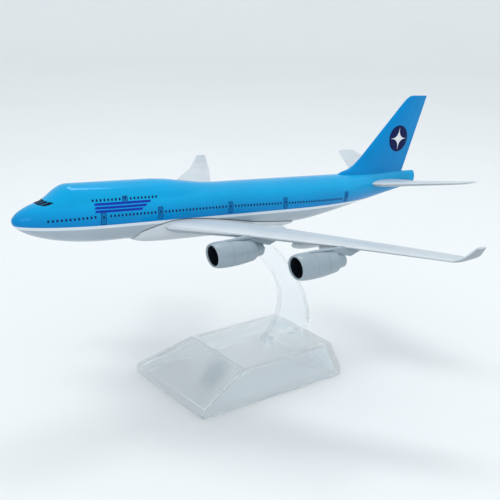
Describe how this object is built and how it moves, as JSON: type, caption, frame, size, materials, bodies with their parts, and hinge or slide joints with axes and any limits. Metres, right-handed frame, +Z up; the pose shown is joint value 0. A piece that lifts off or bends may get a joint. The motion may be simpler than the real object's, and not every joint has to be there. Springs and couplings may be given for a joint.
{
  "type": "desktop airliner model",
  "caption": "Desk model of a double-deck airliner with jet engines under swept wings, set nose up on a clear curved arm in a clear hollow base that it lifts off.",
  "frame": {"origin": "middle of the whole object seen from above, on the surface it stands on", "axes": "+X aft, from the nose towards the tail; +Y to starboard; +Z up"},
  "size_m": [0.1624, 0.1488, 0.0905],
  "materials": {
    "clear_plastic": "clear polished moulding",
    "sky_blue_paint": "glossy sky blue over a pale grey belly, with printed windows and doors",
    "pale_grey_paint": "satin pale grey",
    "engine_grey_paint": "satin grey",
    "black_plastic": "matt black",
    "zinc_plated_steel": "bright plated"
  },
  "bodies": {
    "stand_base": {"stand_base": "clear_plastic"},
    "stand_arm": {"stand_arm": "clear_plastic"},
    "airliner": {"fuselage_casting": "sky_blue_paint", "wing_casting": "pale_grey_paint", "tailplane_left": "pale_grey_paint", "tailplane_right": "pale_grey_paint", "engine_cowl_inboard_left": "engine_grey_paint", "engine_cowl_inboard_right": "engine_grey_paint", "engine_cowl_outboard_left": "engine_grey_paint", "engine_cowl_outboard_right": "engine_grey_paint", "engine_fan_inboard_left": "black_plastic", "engine_fan_inboard_right": "black_plastic", "engine_fan_outboard_left": "black_plastic", "engine_fan_outboard_right": "black_plastic", "engine_core_inboard_left": "engine_grey_paint", "engine_core_inboard_right": "engine_grey_paint", "engine_core_outboard_left": "engine_grey_paint", "engine_core_outboard_right": "engine_grey_paint", "belly_screw_front": "zinc_plated_steel", "belly_screw_rear": "zinc_plated_steel"}
  },
  "joints": [
    {"name": "arm_lift", "type": "slide", "parent": "stand_base", "child": "stand_arm", "axis": [0, 0, 1], "range_m": [0, 0.012]},
    {"name": "airliner_lift", "type": "slide", "parent": "stand_arm", "child": "airliner", "axis": [0.0847, 0, 0.9964], "range_m": [0, 0.014]}
  ]
}
